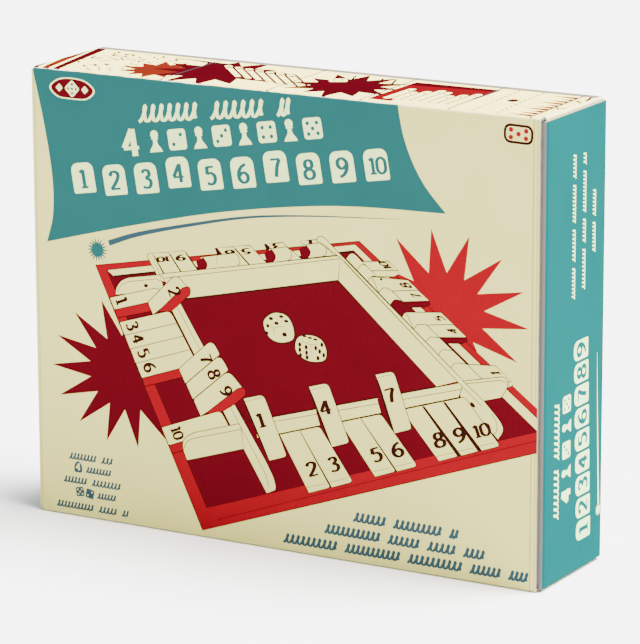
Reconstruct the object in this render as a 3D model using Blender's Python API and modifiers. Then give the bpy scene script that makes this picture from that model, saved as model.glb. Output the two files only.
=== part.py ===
"""Board game box: an upright folding carton with the four-sided tile game that it holds.

Frame: X runs along the front, Y from front to back, Z up, in metres.
The origin is under the middle of the carton, on the surface that it stands on.
"""

import math

import bpy
import bmesh
from mathutils import Matrix, Vector

# Carton, outside
WIDTH = 0.320
DEPTH = 0.073
HEIGHT = 0.256
SHEET = 0.0016  # corrugated board
CORNER_RADIUS = 0.0022  # long folds of the sleeve
CLEARANCE = 0.0003  # between pieces that touch

# End closures, each hinged on the back panel and tucked in behind the front panel
END_STEP = 0.003  # from the sleeve's cut end to the closure's outer face
CREASE = 0.0008  # half width of a fold line
END_SHORT = 0.002  # the closure stops this far from the top and from the bottom
TUCK_LENGTH = 0.015
TUCK_START = 0.0015
TUCK_TILT = math.radians(14.0)
TUCK_CORNER = 0.009
DUST_LENGTH = 0.050
DUST_FRONT = 0.0312  # free edge, measured forward from the middle
DUST_BACK = 0.034
DUST_TAPER_FRONT = 0.003
DUST_TAPER_BACK = 0.0275

# Card insert that holds the square board in the middle of the carton
CARD = 0.001
INSERT_DEPTH = 0.028
INSERT_END_GAP = 0.0006

# Game board, modelled lying flat with Z up, then stood up in the carton
BOARD_SIDE = 0.248
RIM_THICKNESS = 0.005
RIM_HEIGHT = 0.0166  # the lowered tiles rest on it
BASE_THICKNESS = 0.005
BASE_LIFT = 0.0005
PLAY_SIDE = 0.132
WALL_THICKNESS = 0.006
WALL_TOP = 0.036
WALL_END_RADIUS = 0.014
PIVOT_HEIGHT = 0.020
PIVOT_OFFSET = 0.0085  # from the wall's outer face to the rod
ROD_RADIUS = 0.002
ROD_PROUD = 0.0005
ROD_CLEARANCE = 0.0003

# Tiles
TILES_PER_SIDE = 10
TILE_PITCH = 0.0131
TILE_WIDTH = 0.0127
TILE_THICKNESS = 0.006
TILE_ARM = 0.041  # from the rod to the numbered end
TILE_HEEL = 0.0065  # from the rod to the other end
TILE_CORNER = 0.0024
TILE_BORE = 0.00235  # flats of the eight-sided bore
TILE_LEAN_GAP = 0.0004

# Loose contents
DIE_SIDE = 0.016
DIE_ROUND = 0.003
LEAFLET_WIDTH = 0.210
LEAFLET_HEIGHT = 0.148
LEAFLET_THICKNESS = 0.001

# Places that follow from the above
HINGE_X = WIDTH / 2 - SHEET / 2  # the closure's fold lines, at mid-thickness
HINGE_Y = DEPTH / 2 - SHEET / 2
SLEEVE_END = WIDTH / 2 - END_STEP
TUCK_Y = -(DEPTH / 2 - SHEET - CLEARANCE - SHEET / 2)
DUST_X = HINGE_X - SHEET - 0.0004
DUST_Z = SHEET / 2
DUST_START = SHEET / 2 + CLEARANCE
INNER_BACK = DEPTH / 2 - SHEET
INSERT_BACK = INNER_BACK - 0.0004
BOARD_BACK = INSERT_BACK - CARD - CLEARANCE
BOARD_BOTTOM = SHEET + 0.0004
BOARD_CENTRE_Z = BOARD_BOTTOM + BOARD_SIDE / 2
WALL_CENTRE = PLAY_SIDE / 2 + WALL_THICKNESS / 2
WALL_FACE = PLAY_SIDE / 2 + WALL_THICKNESS
PIVOT_DISTANCE = WALL_FACE + PIVOT_OFFSET
FLOOR_TOP = BASE_LIFT + BASE_THICKNESS

SIDES = {"right": 0, "top": 1, "left": 2, "bottom": 3}  # quarter turns about the board's Z

MATERIALS = {
    "printed_board": ((0.72, 0.68, 0.51), 0.42, 0.0),
    "printed_end": ((0.10, 0.38, 0.39), 0.42, 0.0),
    "plain_board": ((0.80, 0.78, 0.74), 0.75, 0.0),
    "insert_card": ((0.62, 0.60, 0.56), 0.85, 0.0),
    "red_wood": ((0.60, 0.035, 0.03), 0.40, 0.0),
    "floor_wood": ((0.26, 0.008, 0.014), 0.90, 0.0),
    "cream_wood": ((0.71, 0.66, 0.48), 0.45, 0.0),
    "steel": ((0.60, 0.60, 0.62), 0.28, 1.0),
    "die_plastic": ((0.82, 0.79, 0.68), 0.25, 0.0),
    "paper": ((0.84, 0.82, 0.76), 0.80, 0.0),
}


def clear_scene():
    for obj in list(bpy.data.objects):
        bpy.data.objects.remove(obj, do_unlink=True)


def new_collection(name):
    collection = bpy.data.collections.new(name)
    bpy.context.scene.collection.children.link(collection)
    return collection


def make_material(name):
    colour, roughness, metallic = MATERIALS[name]
    material = bpy.data.materials.new(name)
    material.use_nodes = True
    shader = material.node_tree.nodes["Principled BSDF"]
    shader.inputs["Base Color"].default_value = (*colour, 1.0)
    shader.inputs["Roughness"].default_value = roughness
    shader.inputs["Metallic"].default_value = metallic
    material.diffuse_color = (*colour, 1.0)
    return material


def material_for(name):
    return bpy.data.materials.get(name) or make_material(name)


def add_object(name, mesh, material, collection, parent=None):
    obj = bpy.data.objects.new(name, mesh)
    if not mesh.materials:
        mesh.materials.append(material_for(material))
    collection.objects.link(obj)
    obj.parent = parent
    return obj


def box_mesh(name, low, high):
    """A block between two corners, in its object's own frame."""
    low, high = Vector(low), Vector(high)
    bm = bmesh.new()
    bmesh.ops.create_cube(bm, size=1.0)
    bmesh.ops.scale(bm, vec=high - low, verts=bm.verts)
    bmesh.ops.translate(bm, vec=(low + high) / 2, verts=bm.verts)
    mesh = bpy.data.meshes.new(name)
    bm.to_mesh(mesh)
    bm.free()
    return mesh


def plate_mesh(name, outlines, thickness):
    """A flat body on its own XY plane. The outlines after the first are holes through it."""
    curve = bpy.data.curves.new(name, "CURVE")
    curve.dimensions = "2D"
    curve.fill_mode = "BOTH"
    curve.extrude = thickness / 2
    for outline in outlines:
        spline = curve.splines.new("POLY")
        spline.points.add(len(outline) - 1)
        spline.use_cyclic_u = True
        for point, (x, y) in zip(spline.points, outline):
            point.co = (x, y, 0.0, 1.0)
    holder = bpy.data.objects.new(name, curve)
    bpy.context.scene.collection.objects.link(holder)
    depsgraph = bpy.context.evaluated_depsgraph_get()
    mesh = bpy.data.meshes.new_from_object(holder.evaluated_get(depsgraph))
    bpy.data.objects.remove(holder, do_unlink=True)
    bm = bmesh.new()
    bm.from_mesh(mesh)
    bmesh.ops.remove_doubles(bm, verts=bm.verts, dist=0.00001)
    bmesh.ops.recalc_face_normals(bm, faces=bm.faces)
    bm.to_mesh(mesh)
    bm.free()
    return mesh


def rounded_outline(left, right, bottom, top, radii, steps):
    """A rectangle with round corners: radii are bottom left, bottom right, top right, top left."""
    centres = (
        (left + radii[0], bottom + radii[0]),
        (right - radii[1], bottom + radii[1]),
        (right - radii[2], top - radii[2]),
        (left + radii[3], top - radii[3]),
    )
    points = []
    for number, ((x, y), radius) in enumerate(zip(centres, radii)):
        count = steps if radius else 0
        for step in range(count + 1):
            turn = math.pi + math.pi / 2 * (number + (step / count if count else 0.0))
            points.append((x + radius * math.cos(turn), y + radius * math.sin(turn)))
    return points


def round_hole(x, y, flats, sides):
    """A many-sided hole whose flats lie at the given distance from its middle."""
    radius = flats / math.cos(math.pi / sides)
    turns = [math.tau * (step + 0.5) / sides for step in range(sides)]
    return [(x + radius * math.cos(turn), y + radius * math.sin(turn)) for turn in turns]


def make_sleeve(parts):
    """Front, top, back and bottom panels in one piece, open at both ends."""
    mesh = box_mesh(
        "carton_sleeve",
        (-SLEEVE_END, -DEPTH / 2, 0.0),
        (SLEEVE_END, DEPTH / 2, HEIGHT),
    )
    bm = bmesh.new()
    bm.from_mesh(mesh)
    ends = [face for face in bm.faces if abs(face.normal.x) > 0.5]
    bmesh.ops.delete(bm, geom=ends, context="FACES_ONLY")
    bm.to_mesh(mesh)
    bm.free()
    sleeve = add_object("carton_sleeve", mesh, "printed_board", parts)
    folds = sleeve.modifiers.new("folds", "BEVEL")
    folds.width = CORNER_RADIUS
    folds.segments = 3
    wall = sleeve.modifiers.new("wall", "SOLIDIFY")
    wall.thickness = SHEET
    wall.offset = -1.0
    wall.use_even_offset = True
    return sleeve


def make_end_closure(end, sign, parts):
    """A closure panel on its fold, the tuck flap on its free edge, and two dust flaps."""
    reach = HINGE_Y - TUCK_Y
    panel = add_object(
        f"{end}_end_panel",
        box_mesh(
            f"{end}_end_panel",
            (-SHEET / 2, -(reach - CREASE), END_SHORT),
            (SHEET / 2, -CREASE, HEIGHT - END_SHORT),
        ),
        "printed_end",
        parts,
    )
    panel.location = (sign * HINGE_X, HINGE_Y, 0.0)

    side = sorted((-sign * TUCK_START, -sign * TUCK_LENGTH))
    tip = TUCK_CORNER
    radii = (tip, 0.0, 0.0, tip) if sign > 0 else (0.0, tip, tip, 0.0)
    outline = rounded_outline(*side, 2 * END_SHORT, HEIGHT - 2 * END_SHORT, radii, 4)
    tuck = add_object(
        f"{end}_tuck_flap",
        plate_mesh(f"{end}_tuck_flap", [outline], SHEET),
        "plain_board",
        parts,
        panel,
    )
    tuck.location = (0.0, -reach, 0.0)
    tuck.rotation_euler = (math.pi / 2, 0.0, -sign * TUCK_TILT)

    for place, up, height in (("top", -1.0, HEIGHT - DUST_Z), ("bottom", 1.0, DUST_Z)):
        outline = [
            (-DUST_FRONT, up * DUST_START),
            (DUST_BACK, up * DUST_START),
            (DUST_BACK - DUST_TAPER_BACK, up * DUST_LENGTH),
            (-DUST_FRONT + DUST_TAPER_FRONT, up * DUST_LENGTH),
        ]
        name = f"{end}_{place}_dust_flap"
        flap = add_object(name, plate_mesh(name, [outline], SHEET), "plain_board", parts)
        flap.location = (sign * DUST_X, 0.0, height)
        flap.rotation_euler = (math.pi / 2, 0.0, math.pi / 2)


def make_insert(parts):
    """A back sheet with four ribs: the inner two hold the board, the outer two reach the ends."""
    half = DUST_X - SHEET / 2 - INSERT_END_GAP
    inner = BOARD_SIDE / 2 + 2 * CLEARANCE
    ribs = (-half + CARD / 2, -inner - CARD / 2, inner + CARD / 2, half - CARD / 2)
    face = INSERT_BACK - CARD
    free_edge = INSERT_BACK - INSERT_DEPTH
    outline = [(half, INSERT_BACK), (-half, INSERT_BACK)]
    for rib in ribs:
        left, right = rib - CARD / 2, rib + CARD / 2
        if rib != ribs[0]:
            outline.append((left, face))
        outline += [(left, free_edge), (right, free_edge)]
        if rib != ribs[-1]:
            outline.append((right, face))
    low, high = BOARD_BOTTOM, HEIGHT - SHEET - 0.0014
    mesh = plate_mesh("card_insert", [outline], high - low)
    insert = add_object("card_insert", mesh, "insert_card", parts)
    insert.location = (0.0, 0.0, (low + high) / 2)


def make_tray(parts, board):
    """The rim and the base that fits inside it."""
    outer = BOARD_SIDE / 2
    inner = outer - RIM_THICKNESS
    squares = [
        rounded_outline(-size, size, -size, size, (0.0,) * 4, 0) for size in (outer, inner)
    ]
    rim_mesh = plate_mesh("board_rim", squares, RIM_HEIGHT)
    rim = add_object("board_rim", rim_mesh, "red_wood", parts, board)
    rim.location = (0.0, 0.0, RIM_HEIGHT / 2)
    edge = inner - CLEARANCE
    base_mesh = box_mesh("board_base", (-edge, -edge, BASE_LIFT), (edge, edge, FLOOR_TOP))
    add_object("board_base", base_mesh, "floor_wood", parts, board)


def make_wall_frame(parts, cutters, board):
    """Four planks, half-lapped where they cross, with a hole for each rod end."""
    half = BOARD_SIDE / 2 - RIM_THICKNESS - CLEARANCE
    round_end = WALL_END_RADIUS
    outline = rounded_outline(
        -half, half, FLOOR_TOP + CLEARANCE, WALL_TOP, (0.0, 0.0, round_end, round_end), 5
    )
    hole = ROD_RADIUS + ROD_CLEARANCE
    holes = [round_hole(x, PIVOT_HEIGHT, hole, 8) for x in (-PIVOT_DISTANCE, PIVOT_DISTANCE)]
    mesh = plate_mesh("wall_plank", [outline, *holes], WALL_THICKNESS)
    planks = []
    for side, turns in SIDES.items():
        first = not planks
        name = "wall_frame" if first else f"{side}_plank"
        plank = add_object(name, mesh, "cream_wood", parts if first else cutters, board)
        turn = turns * math.pi / 2
        plank.location = (WALL_CENTRE * math.cos(turn), WALL_CENTRE * math.sin(turn), 0.0)
        plank.rotation_euler = (math.pi / 2, 0.0, math.pi / 2 + turn)
        planks.append(plank)
    for plank in planks[1:]:
        plank.hide_render = True
        plank.display_type = "WIRE"
        joint = planks[0].modifiers.new(plank.name, "BOOLEAN")
        joint.operation = "UNION"
        joint.object = plank


def rod_mesh():
    bm = bmesh.new()
    bmesh.ops.create_cone(
        bm,
        cap_ends=True,
        segments=12,
        radius1=ROD_RADIUS,
        radius2=ROD_RADIUS,
        depth=2 * (WALL_FACE + ROD_PROUD),
    )
    mesh = bpy.data.meshes.new("rod")
    bm.to_mesh(mesh)
    bm.free()
    mesh.shade_smooth()
    mesh.set_sharp_from_angle(angle=math.radians(40))
    return mesh


def tile_mesh():
    """A tile whose rod runs along Y through its origin and whose numbered end is at +X."""
    half = TILE_THICKNESS / 2
    outline = rounded_outline(-TILE_HEEL, TILE_ARM, -half, half, (TILE_CORNER,) * 4, 2)
    mesh = plate_mesh("tile", [outline, round_hole(0.0, 0.0, TILE_BORE, 8)], TILE_WIDTH)
    mesh.transform(Matrix.Rotation(math.pi / 2, 4, "X"))
    return mesh


def flip_angle():
    """The turn from lying outward to leaning on the wall's top edge."""
    rise = WALL_TOP - PIVOT_HEIGHT
    reach = math.hypot(PIVOT_OFFSET, rise)
    lean = math.acos((TILE_THICKNESS / 2 + TILE_LEAN_GAP) / reach) - math.atan2(rise, PIVOT_OFFSET)
    return math.pi / 2 + lean


def make_rods_and_tiles(parts, board):
    """One rod for each side, and ten tiles on it. The top row is stored flipped, so that it stays."""
    rod = rod_mesh()
    tile = tile_mesh()
    for side, turns in SIDES.items():
        turn = turns * math.pi / 2
        outward = Vector((math.cos(turn), math.sin(turn), 0.0))
        along = Vector((-math.sin(turn), math.cos(turn), 0.0))
        middle = outward * PIVOT_DISTANCE + Vector((0.0, 0.0, PIVOT_HEIGHT))
        bar = add_object(f"{side}_rod", rod, "steel", parts, board)
        bar.location = middle
        bar.rotation_euler = (math.pi / 2, 0.0, turn)
        flip = flip_angle() if side == "top" else 0.0
        for number in range(1, TILES_PER_SIDE + 1):
            shift = (number - (TILES_PER_SIDE + 1) / 2) * TILE_PITCH
            piece = add_object(f"{side}_tile_{number:02d}", tile, "cream_wood", parts, board)
            piece.location = middle + along * shift
            piece.rotation_euler = (0.0, -flip, turn)


def make_dice(parts, board):
    """Two dice side by side on the play area's lower wall."""
    half = DIE_SIDE / 2
    mesh = box_mesh("die", (-half,) * 3, (half,) * 3)
    y = -PLAY_SIDE / 2 + half + CLEARANCE
    z = FLOOR_TOP + half + CLEARANCE
    for number, x in ((1, -0.022), (2, 0.014)):
        die = add_object(f"die_{number}", mesh, "die_plastic", parts, board)
        die.location = (x, y, z)
        edges = die.modifiers.new("edges", "BEVEL")
        edges.width = DIE_ROUND
        edges.segments = 3


def make_leaflet(parts):
    """The folded instructions, standing behind the front panel."""
    back = -INNER_BACK + CLEARANCE + LEAFLET_THICKNESS
    low = (-LEAFLET_WIDTH / 2, -LEAFLET_THICKNESS, 0.0)
    high = (LEAFLET_WIDTH / 2, 0.0, LEAFLET_HEIGHT)
    mesh = box_mesh("instruction_leaflet", low, high)
    leaflet = add_object("instruction_leaflet", mesh, "paper", parts)
    leaflet.location = (0.0, back, SHEET + CLEARANCE)


def main():
    clear_scene()
    parts = new_collection("board_game_box")
    cutters = new_collection("cutters")
    make_sleeve(parts)
    make_end_closure("right", 1.0, parts)
    make_end_closure("left", -1.0, parts)
    make_insert(parts)
    board = bpy.data.objects.new("game_board", None)
    parts.objects.link(board)
    board.location = (0.0, BOARD_BACK, BOARD_CENTRE_Z)
    board.rotation_euler = (math.pi / 2, 0.0, 0.0)
    make_tray(parts, board)
    make_wall_frame(parts, cutters, board)
    make_rods_and_tiles(parts, board)
    make_dice(parts, board)
    make_leaflet(parts)


main()
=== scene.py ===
import random
from functools import partial
from math import acos, atan2, cos, hypot, pi, radians, sin, tan, tau

import bmesh
import bpy
from mathutils import Matrix, Vector
from mathutils.geometry import delaunay_2d_cdt


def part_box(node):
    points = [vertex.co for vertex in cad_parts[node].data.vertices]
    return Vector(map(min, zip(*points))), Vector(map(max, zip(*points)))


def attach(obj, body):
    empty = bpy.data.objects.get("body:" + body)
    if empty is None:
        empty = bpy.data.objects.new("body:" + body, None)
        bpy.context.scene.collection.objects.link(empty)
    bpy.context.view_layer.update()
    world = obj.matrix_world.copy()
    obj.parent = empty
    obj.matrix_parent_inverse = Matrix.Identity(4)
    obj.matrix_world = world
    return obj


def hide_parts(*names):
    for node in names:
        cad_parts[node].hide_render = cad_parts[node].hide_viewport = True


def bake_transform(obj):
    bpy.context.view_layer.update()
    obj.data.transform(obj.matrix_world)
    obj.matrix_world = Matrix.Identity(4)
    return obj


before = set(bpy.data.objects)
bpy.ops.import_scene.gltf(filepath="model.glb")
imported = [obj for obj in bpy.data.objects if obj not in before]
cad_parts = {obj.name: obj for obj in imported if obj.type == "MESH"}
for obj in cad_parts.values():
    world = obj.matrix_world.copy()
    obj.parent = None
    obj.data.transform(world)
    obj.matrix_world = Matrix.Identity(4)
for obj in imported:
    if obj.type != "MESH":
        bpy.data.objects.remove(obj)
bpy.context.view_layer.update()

# Everything is in millimetres until it becomes a mesh. X runs along the front, Y goes back, Z up.
MM = 0.001
FRONT_Y = -36.5
BACK_Y = 36.5
TOP_Z = 256.0
SLEEVE_X = 157.0
FOLD = 2.2  # outside radius of the sleeve's long folds
BOARD = 1.6  # thickness of the corrugated board
FLUTE = 3.3  # pitch of its flutes
END_X = 160.0
END_FRONT = -33.0
END_BACK = 34.9
END_LOW = 2.0
END_HIGH = 254.0

# The game board, measured from its own middle: u right, v up the carton, w towards the front
BOARD_BACK = 33.2
BOARD_MIDDLE_Z = 126.0
PIVOT = 80.5
PIVOT_HIGH = 20.0
PITCH = 13.1
TILE_WIDE = 12.7
TILE_THICK = 6.0
ARM = 41.0
HEEL = 6.5
WALL_OUT = 72.0
WALL_TOP = 36.0
RIM_OUT = 124.0
RIM_IN = 119.0
RIM_TOP = 16.6
SIDES = {"right": 0, "top": 1, "left": 2, "bottom": 3}

INKS = {
    "cream": (201, 194, 113),
    # painted shade: a darker cream for the rounded side edges of the front
    "crease": (168, 161, 96),
    "teal": (30, 78, 77),
    # end_teal and end_mint are the print's teal and mint again, with shades set for the light on the ends:
    # partly painted light.
    "end_teal": (12, 78, 77),
    "dark_red": (77, 9, 17),
    "bright_red": (124, 12, 22),
    "orange": (126, 34, 12),
    "brown": (41, 12, 8),
    "slate": (41, 65, 75),
    "mint": (206, 224, 148),
    # partly painted light: the ends' copy of mint, its shade set for the light there
    "end_mint": (196, 236, 162),
    "white": (232, 226, 214),
    # painted shade: the unprinted board of the right tuck fold, darkened to grey
    "fold_grey": (92, 88, 86),
    # The top's own copies of the inks: its print, with shades set for how the top is lit, so partly painted
    # light; top_cream is painted lighter than the front's cream.
    "top_cream": (240, 224, 130),
    "top_dark_red": (53, 4, 9),
    "top_bright_red": (87, 6, 12),
    "top_orange": (82, 23, 12),
    "top_brown": (34, 11, 7),
    # painted shade: the grey strip along the back edge of the top
    "top_grey": (112, 102, 90),
    "top_slate": (42, 46, 57),
}


# Outlines

def area(points):
    pairs = zip(points, points[1:] + points[:1])
    return sum(ax * by - bx * ay for (ax, ay), (bx, by) in pairs) / 2


def curve(points, steps=5, closed=False):
    """A smooth line through the points."""
    count = len(points)
    line = []
    for i in range(count if closed else count - 1):
        near = [(i + k) % count if closed else min(max(i + k, 0), count - 1) for k in (-1, 0, 1, 2)]
        a, b, c, d = (Vector(points[k]) for k in near)
        for step in range(steps):
            t = step / steps
            bend = b * 2 + (c - a) * t + (a * 2 - b * 5 + c * 4 - d) * t ** 2
            line.append(tuple((bend + (b * 3 - a - c * 3 + d) * t ** 3) / 2))
    return line if closed else line + [tuple(points[-1])]


def oval(x, y, wide, high=None, steps=16):
    turns = [tau * i / steps for i in range(steps)]
    return [(x + wide * cos(t), y + (high or wide) * sin(t)) for t in turns]


def arc(x, y, wide, high, start, end, steps=6):
    turns = [radians(start + (end - start) * i / steps) for i in range(steps + 1)]
    return [(x + wide * cos(t), y + high * sin(t)) for t in turns]


def rounded(left, right, low, high, radius, steps=4):
    """A rectangle with round corners. radius is one number, or four counter-clockwise from lower left."""
    radii = radius if isinstance(radius, tuple) else (radius,) * 4
    corners = ((left, low, 180), (right, low, 270), (right, high, 0), (left, high, 90))
    points = []
    for (x, y, start), r in zip(corners, radii):
        middle_x = x + r if x == left else x - r
        middle_y = y + r if y == low else y - r
        points += arc(middle_x, middle_y, r, r, start, start + 90, steps) if r else [(x, y)]
    return points


def star(x, y, outer, inner, spikes, turn=0.0, wobble=0.0, seed=1, wide=1.0):
    dice = random.Random(seed)
    points = []
    for i in range(spikes * 2):
        reach = inner if i % 2 else outer * (1 + wobble * dice.uniform(-1, 1))
        t = turn + pi * (i + 0.35 * wobble * dice.uniform(-1, 1)) / spikes
        points.append((x + reach * cos(t) * wide, y + reach * sin(t)))
    return points


def hull(points):
    """The convex outline round the points."""
    ordered = sorted(tuple(p) for p in points)

    def chain(line):
        kept = []
        for p in line:
            while len(kept) > 1:
                (ax, ay), (bx, by) = kept[-2:]
                if (bx - ax) * (p[1] - ay) - (by - ay) * (p[0] - ax) > 1e-6:
                    break
                kept.pop()
            kept.append(p)
        return kept[:-1]

    return chain(ordered) + chain(ordered[::-1])


def soften(points, radii, steps=4):
    """A polygon with its corners rounded, each by its own radius."""
    result = []
    for i, (p, radius) in enumerate(zip(points, radii)):
        here = Vector(p)
        a = here + (Vector(points[i - 1]) - here).normalized() * radius
        b = here + (Vector(points[(i + 1) % len(points)]) - here).normalized() * radius
        for k in range(steps + 1 if radius else 1):
            t = k / steps
            result.append(tuple(a.lerp(here, t).lerp(here.lerp(b, t), t)))
    return result


def sides(line, half_width):
    """The two sides of a line. half_width is asked with a point's number and direction."""
    left, right = [], []
    for i, (x, y) in enumerate(line):
        way = Vector(line[min(i + 1, len(line) - 1)]) - Vector(line[max(i - 1, 0)])
        way.normalize()
        half = half_width(i, way)
        left.append((x - way.y * half, y + way.x * half))
        right.append((x + way.y * half, y - way.x * half))
    return left, right


def ribbon(points, width, thin=None):
    """A pen line as four-sided pieces. A broad pen is thin where it runs sideways."""
    thin = thin or width
    left, right = sides(points, lambda i, way: (thin + (width - thin) * abs(way.y)) / 2)
    return [hull([left[i], right[i], right[i + 1], left[i + 1]]) for i in range(len(points) - 1)]


def swoosh(points, first, last):
    """A curved line that tapers from one width to the other."""
    line = curve(points, 8)
    left, right = sides(line, lambda i, way: (first + (last - first) * i / (len(line) - 1)) / 2)
    return left + right[::-1]


# Marks. A drawing is a list of (ink, outline) layers, each printed over the ones before it.

DIGITS = {
    "0": [[(0, 5), (-2.5, 3.2), (-2.9, 0), (-2.5, -3.2), (0, -5), (2.5, -3.2), (2.9, 0), (2.5, 3.2), (0, 5)]],
    "1": [[(0.2, 4.9), (0.2, -5)], [(0.3, 4.8), (-2.1, 3.5)], [(-2, -4.7), (2.4, -4.7)]],
    "2": [[(-2.6, 2.7), (-1.7, 4.5), (0.3, 5), (2.4, 3.8), (2.1, 1.4), (0, -1.6), (-2.8, -4.5)],
          [(-3, -4.4), (3, -4.4)]],
    "3": [[(-2.4, 3.6), (-0.5, 4.9), (1.9, 4.1), (1.8, 1.8), (-0.6, 0.5)],
          [(-0.6, 0.5), (2, -0.5), (2.6, -2.8), (0.7, -4.8), (-2.6, -4.2)]],
    "4": [[(1.1, 4.8), (-3.2, -1.9)], [(-3.4, -2), (3.2, -2)], [(1.2, 5), (1.2, -5)]],
    "5": [[(-1.8, 4.5), (2.4, 4.5)], [(-1.6, 4.8), (-2, 0.6)],
          [(-2, 0.8), (0.4, 1.2), (2.5, -0.4), (2.4, -3.2), (0.3, -4.9), (-2.5, -4.1)]],
    "6": [[(2.2, 4.8), (-0.6, 3.5), (-2.6, 0.4), (-2.5, -3), (0, -5), (2.5, -3.6), (2.5, -1), (0.2, 0.5),
           (-2.3, -1)]],
    "7": [[(-2.8, 4.4), (2.9, 4.4)], [(2.8, 4.4), (0.8, 0.4), (-0.4, -5)]],
    "8": [[(0, 0.4), (-2, 1.7), (-1.8, 4.1), (0, 5), (1.8, 4.1), (2, 1.7), (0, 0.4)],
          [(0, 0.4), (-2.6, -1.2), (-2.4, -3.9), (0, -5), (2.4, -3.9), (2.6, -1.2), (0, 0.4)]],
}
DIGITS["9"] = [[(-x, -y) for x, y in DIGITS["6"][0]]]

CORNER_PIPS = [(-1, -1), (1, 1), (-1, 1), (1, -1)]
PIPS = {
    1: [(0, 0)],
    2: CORNER_PIPS[:2],
    3: CORNER_PIPS[:2] + [(0, 0)],
    4: CORNER_PIPS,
    5: CORNER_PIPS + [(0, 0)],
    6: CORNER_PIPS + [(-1, 0), (1, 0)],
}


def mapped(layers, place):
    return [(ink, [place(x, y) for x, y in outline]) for ink, outline in layers]


def placed(layers, x, y, turn=0.0, size=1.0):
    """The layers scaled, turned and moved."""
    c, s = size * cos(turn), size * sin(turn)
    return mapped(layers, lambda a, b: (x + a * c - b * s, y + a * s + b * c))


def stroke(points, width=0.42, ink="brown"):
    return [(ink, piece) for piece in ribbon(points, width)]


def shape(ink, outline, width=0.42):
    """A filled outline with a thin line round it."""
    return [(ink, outline)] + stroke(outline + outline[:1], width)


def framed(ink, edge, left, right, low, high, radius, half):
    """A rectangle with round corners and a line round it, half of it outside and half inside."""
    outer = rounded(left - half, right + half, low - half, high + half, radius + 0.9 * half)
    inner = rounded(left + half, right - half, low + half, high - half, radius - 0.9 * half)
    return [(edge, outer), (ink, inner)]


def number(value, ink, height, weight=1.9):
    """A numeral centred on the origin."""
    size, shifts = (height / 10 * 0.86, (-2.7, 3.3)) if value > 9 else (height / 10, (0,))
    layers = []
    for digit, shift in zip(str(value), shifts):
        for line in DIGITS[digit]:
            for piece in ribbon(curve(line, 4) if len(line) > 2 else line, weight, weight * 0.52):
                layers.append((ink, [((x + shift) * size, y * size) for x, y in piece]))
    return layers


def waves(ink, length, height, width, seed):
    """A line of small slanted loops in groups, which stands in for a line of small print."""
    dice = random.Random(seed)
    layers = []
    x = 0.0
    while x < length - height * 0.5:
        group = min(length - x, height * dice.uniform(2.4, 5.0))
        loops = max(2, round(group / (height * 0.46)))
        points = []
        for k in range(12 * loops):
            t = tau * k / 12
            up = height * 0.36 * (1 - cos(t))
            points.append((x + group / loops * (k / 12 + 0.24 * sin(t)) + up * 0.3, up))
        layers += [(ink, piece) for piece in ribbon(points, width, width * 0.6)]
        x += group + height * 0.7
    return layers


def small_print(ink, rows):
    """Lines of waves. A row is length, height, width, seed, x, y and tilt in degrees."""
    layers = []
    for length, height, width, seed, x, y, tilt in rows:
        layers += placed(waves(ink, length, height, width, seed), x, y, radians(tilt))
    return layers


def die_mark(ink, pip_ink, pips):
    """A die seen square on, 10 across."""
    wide = 2.5 if pips in (3, 5) else 2.2
    high = 2.8 if pips == 6 else wide
    spots = [(pip_ink, oval(x * wide, y * high, 0.95, steps=10)) for x, y in PIPS[pips]]
    return [(ink, rounded(-5, 5, -5, 5, 1.6))] + spots


def pawn_mark(ink):
    """A playing piece, 12 high."""
    side = [(-4.2, -6), (-3.4, -4.2), (-1.5, -1.5), (-1.1, 1.6)]
    body = curve(side + [(-x, y) for x, y in side[::-1]], 4)
    return [(ink, body), (ink, oval(0, 3.6, 2.5, steps=14)), (ink, rounded(-2.2, 2.2, 0.9, 1.9, 0.4, 2))]


def tile_mark(value, ink, digit_ink, high=17.0, wide=14.6):
    layers = [(ink, rounded(-wide / 2, wide / 2, -high / 2, high / 2, (1.2, 1.2, 4.2, 4.2)))]
    return layers + placed(number(value, digit_ink, high * 0.6, 2.3), 0, -high * 0.03)


def pawns_and_dice(ink, back, count, spot, turn, pawn_size, die_size, pips):
    """Playing pieces and dice by turns. spot and pips are asked with the place, counted from 1."""
    layers = []
    for i in range(1, count + 1):
        mark, size = (pawn_mark(ink), pawn_size) if i % 2 else (die_mark(ink, back, pips(i)), die_size)
        layers += placed(mark, *spot(i), turn, size)
    return layers


def board_plan():
    """The game from above, 100 across."""
    layers = [("bright_red", rounded(-50, 50, -50, 50, 1.0))]
    layers.append(("dark_red", rounded(-47.5, 47.5, -47.5, 47.5, 0.5)))
    for turn in range(4):
        bar = [("cream", rounded(-47, 47, 26.6, 29.2, 0.8))]
        for n in range(10):
            x = (n - 4.5) * 5.3
            foot = 18.0 if (n + turn) % 4 == 0 else 31.0
            bar.append(("brown", rounded(x - 2.55, x + 2.55, foot, foot + 18.4, 1.2, 3)))
            bar.append(("cream", rounded(x - 2.35, x + 2.35, foot + 0.2, foot + 18.2, 1.1, 3)))
        layers += placed(bar, 0, 0, turn * pi / 2)
    layers += placed(die_mark("cream", "brown", 5), -8, 4, 0.5, 0.8)
    return layers + placed(die_mark("cream", "brown", 3), 7, -5, 0.2, 0.8)


# The drawing of the game on the front

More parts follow.
